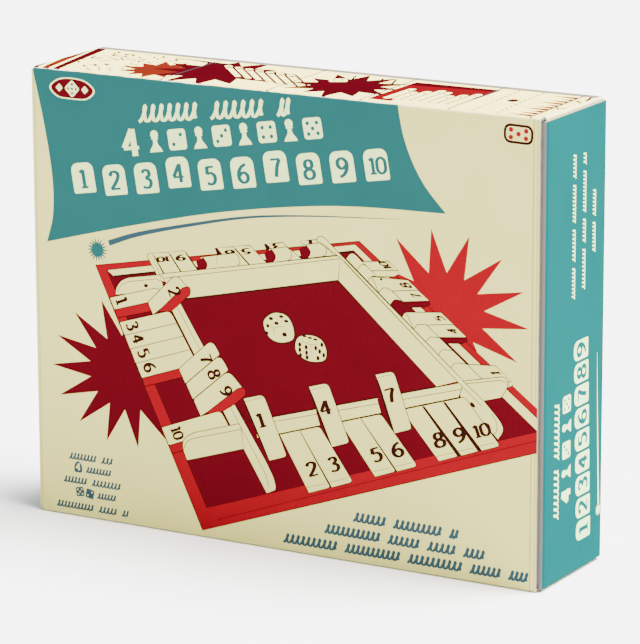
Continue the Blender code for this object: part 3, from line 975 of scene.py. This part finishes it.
def lay_out(regions, layers, lines):
    """Flat triangles with the uppermost ink of each. A (region, ink, outline) layer keeps to its region."""
    points, outlines, edges = [], [], []
    cleaned = [(region, ink, clean(outline)) for region, ink, outline in layers]
    layers = [layer for layer in cleaned if layer[2]]
    for outline in list(regions) + [layer[2] for layer in layers]:
        first = len(points)
        points += [Vector(p) for p in (outline if area(outline) > 0 else outline[::-1])]
        outlines.append(list(range(first, len(points))))
    for line in lines:
        edges.append((len(points), len(points) + 1))
        points += [Vector(p) for p in line]
    result = delaunay_2d_cdt(points, edges, outlines, 0, 0.0005, True)
    kept, inks = [], []
    count = len(regions)
    for triangle, owners in zip(result[2], result[5]):
        inside = [i for i in owners if i < count]
        if inside:
            above = [i for i in owners if i >= count and layers[i - count][0] in inside]
            kept.append(triangle)
            inks.append(layers[max(above) - count][1] if above else "cream")
    return result[0], kept, inks


def facing(place, a, b, reach=0.02):
    """The outward direction of a mapped sheet at one of its points."""
    across = Vector(place(a + reach, b)) - Vector(place(a - reach, b))
    along = Vector(place(a, b + reach)) - Vector(place(a, b - reach))
    return across.cross(along).normalized()


def thicken(bm, back, material):
    """Gives an open bmesh its second side and its rim. back holds where each point's other side is."""
    front_faces = list(bm.faces)
    rim = [edge for edge in bm.edges if len(edge.link_faces) == 1]
    places = {v: v[back] for v in bm.verts}
    behind = {v: bm.verts.new(place) for v, place in places.items()}
    for face in front_faces:
        bm.faces.new([behind[v] for v in reversed(face.verts)]).material_index = material
    for edge in rim:
        loop = edge.link_loops[0]
        start, end = loop.vert, loop.link_loop_next.vert
        bm.faces.new([end, start, behind[start], behind[end]]).material_index = material


def sheet(name, regions, layers, place, thick, flutes="flat", lines=(), mirror=1, upside=1, inside=None):
    """A printed sheet: its ink layers laid flat, put in place, and given the board's thickness."""
    corners, faces, inks = lay_out(regions, layers, lines)
    names = sorted(set(inks))

    def turned(p):
        return Vector((p[0] * mirror, p[1], p[2] if upside > 0 else TOP_Z - p[2])) * MM

    bm = bmesh.new()
    back = bm.verts.layers.float_vector.new("back")
    points = []
    for a, b in corners:
        front = Vector(place(a, b))
        points.append(bm.verts.new(turned(front)))
        points[-1][back] = turned(front - facing(place, a, b) * thick)
    for face, ink in zip(faces, inks):
        bm.faces.new([points[i] for i in face[::mirror * upside]]).material_index = names.index(ink)
    bmesh.ops.delete(bm, geom=[v for v in bm.verts if not v.link_faces], context="VERTS")
    bmesh.ops.remove_doubles(bm, verts=bm.verts, dist=0.01 * MM)
    bmesh.ops.dissolve_degenerate(bm, edges=bm.edges, dist=0.002 * MM)
    thicken(bm, back, len(names))
    bm.verts.layers.float_vector.remove(back)
    materials = [ink_material(ink, flutes) for ink in names] + [inside or board_material()]
    return from_bmesh(name, bm, materials, 32)


def on_region(layers, region=0):
    return [(region, ink, outline) for ink, outline in layers]


def strip(name, path, low, high, lift, thick, layers, mirror=1, upside=1, inside=None):
    """A sheet that follows a path. lift turns a point of the path and a height into a place."""
    marks = [0.0]
    for a, b in zip(path, path[1:]):
        marks.append(marks[-1] + (Vector(b) - Vector(a)).length)

    def place(t, height):
        i = next((i for i in range(len(path) - 2) if t <= marks[i + 1]), len(path) - 2)
        share = (t - marks[i]) / (marks[i + 1] - marks[i])
        return lift(Vector(path[i]).lerp(Vector(path[i + 1]), share), height)

    outline = [(0, low), (marks[-1], low), (marks[-1], high), (0, high)]
    lines = [((m, low), (m, high)) for m in marks[1:-1]]
    return sheet(name, [outline], on_region(layers), place, thick, "flat", lines, mirror, upside, inside)


def upright(point, height):
    return point[0], point[1], height


def crosswise(point, y):
    return point[0], y, point[1]


# The sleeve

PANEL_STARTS = (0.0, TOP_Z, TOP_Z + 73.0, 2 * TOP_Z + 73.0, 2 * TOP_Z + 146.0)
CORNERS = ((FRONT_Y, 0.0), (FRONT_Y, TOP_Z), (BACK_Y, TOP_Z), (BACK_Y, 0.0), (FRONT_Y, 0.0))
HEADINGS = (Vector((0, 1)), Vector((1, 0)), Vector((0, -1)), Vector((-1, 0)))


def sleeve_point(x, s):
    """A point of the unfolded sleeve, x across and s round the folds from the front's foot, in its place."""
    for i, start in enumerate(PANEL_STARTS):
        if abs(s - start) <= FOLD:
            before, after = HEADINGS[(i - 1) % 4], HEADINGS[i % 4]
            turn = pi / 2 * (s - start + FOLD) / (2 * FOLD)
            middle = Vector(CORNERS[i]) - before * FOLD + after * FOLD
            return x, *(middle - after * FOLD * cos(turn) + before * FOLD * sin(turn))
    panel = max(i for i in range(4) if PANEL_STARTS[i] <= s)
    return x, *(Vector(CORNERS[panel]) + HEADINGS[panel] * (s - PANEL_STARTS[panel]))


def worn_line(seed, s, spread):
    """A thin uneven pale line where a fold has cracked."""
    dice = random.Random(seed)
    layers = []
    x = -SLEEVE_X
    while x < SLEEVE_X:
        long = dice.uniform(4, 22)
        half = dice.uniform(0.08, spread)
        points = ((0, 0), (0.3, -1), (0.8, -0.6), (1, 0), (0.5, 1))
        layers.append(("white", [(x + long * a, s + half * b) for a, b in points]))
        x += long * dice.uniform(0.8, 1.5)
    return layers


def make_sleeve():
    regions = []
    for start, end in zip(PANEL_STARTS, PANEL_STARTS[1:]):
        regions.append([(-SLEEVE_X, start), (SLEEVE_X, start), (SLEEVE_X, end), (-SLEEVE_X, end)])
    layers = on_region(front_art(), 0)
    layers += on_region(mapped(top_art(), lambda x, y: (x, TOP_Z + y - FRONT_Y)), 1)
    layers += on_region(mapped(back_art(), lambda x, z: (-x, PANEL_STARTS[2] + TOP_Z - z)), 2)
    layers += on_region(mapped(bottom_art(), lambda x, y: (x, PANEL_STARTS[3] + BACK_Y - y)), 3)
    for seed, start in enumerate(PANEL_STARTS[:4]):
        for panel in range(max(seed - 1, 0), seed + 1):
            layers += on_region(worn_line(70 + seed, start, 0.42), panel)
    places = [start + FOLD * i / 6 for start in PANEL_STARTS for i in range(-6, 7)]
    lines = [((-SLEEVE_X, s), (SLEEVE_X, s)) for s in places if 0 < s < PANEL_STARTS[-1]]
    obj = sheet("carton_sleeve_print", regions, layers, sleeve_point, BOARD, "X", lines)
    hand_over(obj, "carton", "carton_sleeve")


# The end closures

def fluted_core(name, mirror):
    """The wavy middle layer of the end panel, seen at its cut edges."""
    corners, faces = [], []
    steps = 8
    count = int((END_BACK - END_FRONT) / FLUTE * steps)
    for i in range(count + 1):
        y = END_FRONT + 0.1 + (END_BACK - END_FRONT - 0.2) * i / count
        x = 159.2 + 0.36 * sin(tau * i / steps)
        for side in (-0.08, 0.08):
            for z in (END_LOW + 0.1, END_HIGH - 0.1):
                corners.append(((x + side) * mirror, y, z))
    for a in range(0, 4 * count, 4):
        for k, m in ((0, 1), (1, 3), (3, 2), (2, 0)):
            faces.append([a + k, a + m, a + 4 + m, a + 4 + k])
    faces += [[0, 1, 3, 2], [4 * count, 4 * count + 2, 4 * count + 3, 4 * count + 1]]
    return from_faces(name, corners, [face[::mirror] for face in faces], board_material(), 40)


def make_end_panel(end, mirror):
    art = end_art() if mirror > 0 else mapped(end_art(), lambda y, z: (-y, z))
    outline = [(END_FRONT, END_LOW), (END_BACK, END_LOW), (END_BACK, END_HIGH), (END_FRONT, END_HIGH)]
    pieces = []
    for name, layers, x in (("print", art, END_X), ("liner", [("white", outline)], 158.8)):
        place = partial(lambda x, y, z: (x, y, z), x)
        pieces.append(sheet(f"{end}_end_{name}", [outline], on_region(layers), place, 0.4, "Y", (), mirror))
    outer, inner = pieces
    core = fluted_core(f"{end}_end_flutes", mirror)
    hand_over(outer, f"{end}_end", f"{end}_end_panel")
    for obj in (inner, core):
        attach(obj, f"{end}_end")


def make_end_folds(end, mirror):
    """The folds on the back panel and between the end panel and its tuck flap."""
    path = [(END_X, 34.6)] + arc(157.0, END_BACK, 3.0, 1.6, 0, 90)
    inks = [("end_teal", rounded(-1, 9, 0, 258, 0)), ("white", rounded(1.6, 2.3, 0, 258, 0))]
    fold = strip(f"{end}_back_fold", path, END_LOW, END_HIGH, upright, 0.9, inks, mirror)
    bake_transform(fold)

    path = [(157.55, -34.5)] + arc(158.2, END_FRONT, 1.8, 2.1, -112, 0, 8) + [(END_X, END_FRONT + 0.2)]
    # On the right the tuck fold is unprinted board darkened to grey as painted shade; on the left it carries
    # the front's cream.
    bend = "fold_grey" if mirror > 0 else "cream"
    inks = [(bend, rounded(-1, 9, 0, 258, 0)), ("end_teal", rounded(2.9, 9, 0, 258, 0))]
    fold = strip(f"{end}_tuck_fold", path, END_LOW, END_HIGH, upright, 0.9, inks, mirror)
    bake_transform(fold)


def make_tuck_flap(end, mirror):
    """The flap that slopes in behind the front panel."""
    tilt = radians(14)
    reach = Vector((-cos(tilt), sin(tilt)))
    out = Vector((-sin(tilt), -cos(tilt)))

    def on_tuck(a, z):
        return *(Vector((159.2, -33.8)) - reach * a + out * 0.8), z

    outline = soften([(-15.0, 4.0), (-1.5, 4.0), (-1.5, 252.0), (-15.0, 252.0)], (9, 0, 0, 9))
    flap = sheet(f"{end}_tuck_sheet", [outline], [(0, "cream", outline)], on_tuck, BOARD, "Y", (), mirror)
    hand_over(flap, f"{end}_tuck", f"{end}_tuck_flap")


def make_dust_flap(end, place, mirror, upside):
    """A flap folded in from the top or bottom panel, and its fold."""
    name = f"{end}_{place}_dust"
    outline = soften([(-28.2, 205.2), (6.5, 205.2), (34.0, 254.1), (-31.2, 254.1)], (5, 8, 0, 0))
    inks = [(0, "cream", outline)]
    flap = sheet(f"{name}_sheet", [outline], inks, lambda y, z: (158.0, y, z), BOARD, "Y", (), mirror, upside)
    hand_over(flap, name, f"{name}_flap")

    path = arc(157.0, 254.6, 1.0, 1.4, 90, 0) + [(158.0, 254.1)]
    # The top fold takes the top's cream, which is painted lighter than the front's.
    bend, edge_z, flap_z = ("top_cream", 0.256, 0.2541) if upside > 0 else ("cream", 0.0, 0.0019)
    inks = [(bend, rounded(-1, 6, -40, 40, 0)), ("white", rounded(0.7, 1.5, -40, 40, 0))]
    fold = strip(f"{name}_fold_line", path, -31.2, 34.0, crosswise, 0.8, inks, mirror, upside)
    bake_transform(fold)


def make_end(end, mirror):
    make_end_panel(end, mirror)
    make_end_folds(end, mirror)
    make_tuck_flap(end, mirror)
    make_dust_flap(end, "top", mirror, 1)
    make_dust_flap(end, "bottom", mirror, -1)


# The contents

def board_point(u, v, w):
    """A point of the lying game, as it stands in the carton."""
    return u, BOARD_BACK - w, BOARD_MIDDLE_Z + v


def side_axes(side):
    turn = SIDES[side] * pi / 2
    c, s = round(cos(turn)), round(sin(turn))
    return Vector((c, s, 0)), Vector((-s, c, 0))


def bar_mesh(outline, low, high, place, bevel):
    """A bmesh: the outline drawn out from low to high with its edges rounded, put in place."""
    bm = bmesh.new()
    face = bm.faces.new([bm.verts.new((x, y, low)) for x, y in outline])
    bm.normal_update()
    made = bmesh.ops.extrude_face_region(bm, geom=[face])
    tops = [v for v in made["geom"] if isinstance(v, bmesh.types.BMVert)]
    bmesh.ops.translate(bm, verts=tops, vec=(0, 0, high - low))
    bmesh.ops.recalc_face_normals(bm, faces=bm.faces)
    sharp = [e for e in bm.edges if e.is_manifold and e.calc_face_angle() > 0.6]
    bmesh.ops.bevel(bm, geom=sharp, offset=bevel, segments=3, profile=0.5, affect="EDGES", clamp_overlap=True)
    for v in bm.verts:
        v.co = Vector(place(*v.co)) * MM
    bmesh.ops.recalc_face_normals(bm, faces=bm.faces)
    return bm


def print_mesh(layers, place):
    """A bmesh of thin printed marks, all in the second material."""
    bm = bmesh.new()
    for _, outline in layers:
        outline = outline if area(outline) > 0 else outline[::-1]
        face = bm.faces.new([bm.verts.new(Vector(place(x, y)) * MM) for x, y in outline])
        face.material_index = 1
    return bm


def solid_object(name, parts, materials):
    """One object from several bmeshes."""
    joined = bmesh.new()
    for bm in parts:
        part = bpy.data.meshes.new("part")
        bm.to_mesh(part)
        bm.free()
        joined.from_mesh(part)
        bpy.data.meshes.remove(part)
    return from_bmesh(name, joined, materials, 35)


def make_rim():
    red = wood_material("red_paint", (124, 13, 20), (110, 11, 18), (1, 1, 1))
    outline = [(-RIM_OUT, -RIM_OUT), (RIM_OUT, -RIM_OUT), (RIM_IN, -RIM_IN), (-RIM_IN, -RIM_IN)]
    parts = []
    for side in SIDES:
        (c, s, _), _ = side_axes(side)
        bar = [(x * c - y * s, x * s + y * c) for x, y in outline]
        parts.append(bar_mesh(bar, 0.0, RIM_TOP, board_point, 0.9))
    hand_over(solid_object("board_rim_bars", parts, [red]), "board", "board_rim")


def make_rods():
    steel = steel_material()
    around = 24
    rings = ((-72.6, 1.3), (-72.3, 1.8), (-71.9, 2.0), (71.9, 2.0), (72.3, 1.8), (72.6, 1.3))
    for side in SIDES:
        out, along = side_axes(side)
        corners, faces = [], []
        for reach, radius in rings:
            for i in range(around):
                t = tau * i / around
                p = out * (PIVOT + radius * cos(t)) + along * reach
                corners.append(board_point(p.x, p.y, PIVOT_HIGH + radius * sin(t)))
        for ring in range(0, around * (len(rings) - 1), around):
            for i in range(around):
                a, b = ring + i, ring + (i + 1) % around
                faces.append([a, b, b + around, a + around])
        faces += [list(range(around - 1, -1, -1)), list(range(around * 5, around * 6))]
        rod = from_faces(f"{side}_rod_bar", corners, faces, steel, 50)
        hand_over(rod, "board", f"{side}_rod")


def make_tiles():
    """Forty wooden tiles, each with its numeral on both broad faces."""
    wood = wood_material("tile_wood", (198, 189, 122), (186, 176, 110), (1, 1, 0.2))
    dark = plain_material("numeral_ink", (38, 12, 8), (32, 9, 6), 400.0, 0.7)
    rise, gap = WALL_TOP - PIVOT_HIGH, PIVOT - WALL_OUT
    stored = pi / 2 + acos(3.4 / hypot(gap, rise)) - atan2(rise, gap)
    outline = rounded(-HEEL, ARM, -TILE_THICK / 2, TILE_THICK / 2, 2.4, 4)
    for side in SIDES:
        out, along = side_axes(side)
        lean = stored if side == "top" else 0.0
        arm = out * cos(lean) + Vector((0, 0, sin(lean)))
        face = Vector((0, 0, cos(lean))) - out * sin(lean)
        for value in range(1, 11):
            middle = out * PIVOT + Vector((0, 0, PIVOT_HIGH)) + along * (value - 5.5) * PITCH

            def on_tile(a, b, c, middle=middle):
                return board_point(*(middle + arm * a + face * b + along * c))

            digits = number(value, "brown", 8.6, 2.0)
            parts = [bar_mesh(outline, -TILE_WIDE / 2, TILE_WIDE / 2, on_tile, 0.7)]
            for way in (1, -1):
                height = way * (TILE_THICK / 2 + 0.03)
                parts.append(print_mesh(digits, lambda x, y: on_tile(31.0 - way * y, height, x)))
            name = f"{side}_tile_{value:02d}"
            hand_over(solid_object(f"{name}_wood", parts, [wood, dark]), name, name)


def pips_object(materials):
    """The balls that are cut out of a die's faces."""
    bm = bmesh.new()
    for pips, (axis, way) in zip((1, 6, 2, 5, 3, 4), ((2, 1), (2, -1), (0, 1), (0, -1), (1, 1), (1, -1))):
        for a, b in PIPS[pips]:
            place = Vector((0, 0, 0))
            place[axis] = way * 9.1
            place[(axis + 1) % 3] = a * 3.9
            place[(axis + 2) % 3] = b * 3.9
            at = Matrix.Translation(place * MM)
            bmesh.ops.create_uvsphere(bm, u_segments=14, v_segments=10, radius=1.8 * MM, matrix=at)
    for face in bm.faces:
        face.material_index = 1
    return from_bmesh("pips", bm, materials, 180)


def make_dice():
    plastic = plain_material("die_plastic", (206, 199, 150), (196, 188, 138), 120.0, 0.25)
    materials = [plastic, plain_material("pip_paint", (36, 12, 9), (30, 9, 7), 300.0, 0.5)]
    for name in ("die_1", "die_2"):
        bm = bmesh.new()
        bmesh.ops.create_cube(bm, size=16 * MM)
        bmesh.ops.bevel(bm, geom=bm.edges, offset=3 * MM, segments=6, profile=0.5, affect="EDGES")
        body = from_bmesh(f"{name}_cube", bm, materials, 35)
        balls = pips_object(materials)
        cut = body.modifiers.new("pips", "BOOLEAN")
        cut.operation = "DIFFERENCE"
        cut.solver = "EXACT"
        cut.object = balls
        bpy.context.view_layer.update()
        graph = bpy.context.evaluated_depsgraph_get()
        body.data = bpy.data.meshes.new_from_object(body.evaluated_get(graph))
        body.modifiers.clear()
        body.data.shade_smooth()
        body.data.set_sharp_from_angle(angle=radians(40))
        bpy.data.objects.remove(balls)
        box_low, box_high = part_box(name)
        body.location = (box_low + box_high) / 2
        hand_over(body, name, name)


def make_leaflet():
    """The instructions: one long sheet folded back and forth into four leaves."""
    paper = plain_material("paper", (214, 208, 186), (205, 198, 175), 60.0, 0.85, 0.1)
    path = [(-104.6, -34.55)]
    for leaf, way in enumerate((1, -1, 1)):
        path += arc(104.6 * way, -34.41 + 0.28 * leaf, 0.3 * way, 0.14, -90, 90, 4)
    path.append((-104.6, -33.71))
    page = [("white", rounded(-1, 900, -2, 160, 0))] + placed(board_plan(), 62, 74, 0, 0.9)
    for row in range(5):
        page += placed(waves("slate", 70 - 18 * (row == 4), 3.2, 0.7, 80 + row), 122, 112 - 9 * row)
    page += placed(waves("brown", 60, 6.0, 1.2, 90), 122, 128)
    for i in range(3):
        page += placed(die_mark("teal", "white", i + 4), 130 + 18 * i, 42, 0.1 * i)
    obj = strip("leaflet_leaves", path, 1.95, 149.85, upright, 0.1, page, inside=paper)
    hand_over(obj, "leaflet", "instruction_leaflet")


def refinish(node, material, bevel):
    """A CAD node kept as it is, with its finish and slightly rounded edges."""
    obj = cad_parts[node]
    obj.data.materials.clear()
    obj.data.materials.append(material)
    seam = obj.modifiers.new("seam", "WELD")
    seam.merge_threshold = 0.00001
    edges = obj.modifiers.new("edges", "BEVEL")
    edges.width = bevel * MM
    edges.segments = 2
    edges.limit_method = "ANGLE"
    edges.angle_limit = radians(30)
    edges.use_clamp_overlap = True


def make_contents():
    refinish("board_base", felt_material(), 0.3)
    wall_wood = wood_material("wall_wood", (196, 187, 120), (183, 173, 108), (0.3, 1, 0.3))
    refinish("wall_frame", wall_wood, 0.7)
    card = plain_material("insert_card", (205, 200, 190), (186, 180, 168), 160.0, 0.85, 0.3)
    refinish("card_insert", card, 0.25)
    make_rim()
    make_rods()
    make_tiles()
    make_dice()
    make_leaflet()


# Camera, light and floor

def direction(turn, rise):
    """Towards a place that is turned from the front to the right, and raised. Both in radians."""
    return Vector((sin(turn) * cos(rise), -cos(turn) * cos(rise), sin(rise)))


def make_camera():
    away, to_right, to_top, roll = 2.17857, 0.00402, -0.00651, -0.00347
    back = direction(0.524, 0.24244)
    right = (-back).cross(Vector((0, 0, 1))).normalized()
    up = right.cross(-back)
    across = right * cos(roll) + up * sin(roll)
    upward = up * cos(roll) - right * sin(roll)
    data = bpy.data.cameras.new("camera")
    data.lens = 221.7
    data.sensor_width = 36.0
    camera = bpy.data.objects.new("camera", data)
    camera.matrix_world = Matrix((across, upward, back)).transposed().to_4x4()
    camera.location = Vector((0, 0, 0.128)) + right * to_right + up * to_top + back * away
    bpy.context.scene.collection.objects.link(camera)
    bpy.context.scene.camera = camera


def make_light():
    data = bpy.data.lights.new("key", "SUN")
    data.energy = 22.0
    data.angle = radians(40)
    lamp = bpy.data.objects.new("key", data)
    lamp.rotation_mode = "QUATERNION"
    lamp.rotation_quaternion = direction(radians(112), radians(66)).to_track_quat("Z", "Y")
    bpy.context.scene.collection.objects.link(lamp)
    world = bpy.data.worlds.new("studio")
    world.use_nodes = True
    world.node_tree.nodes["Background"].inputs["Color"].default_value = (1.0, 1.0, 1.0, 1.0)
    world.node_tree.nodes["Background"].inputs["Strength"].default_value = 0.9
    bpy.context.scene.world = world


def make_floor():
    paper = plain_material("studio_paper", (250, 250, 250), (247, 247, 247), 3.0, 0.9)
    corners = [(x, y, -0.02) for x, y in ((-9000, -9000), (9000, -9000), (9000, 9000), (-9000, 9000))]
    from_faces("studio_floor", corners, [[0, 1, 2, 3]], paper, 30)


make_sleeve()
make_end("right", 1)
make_end("left", -1)
make_contents()
make_camera()
make_light()
make_floor()
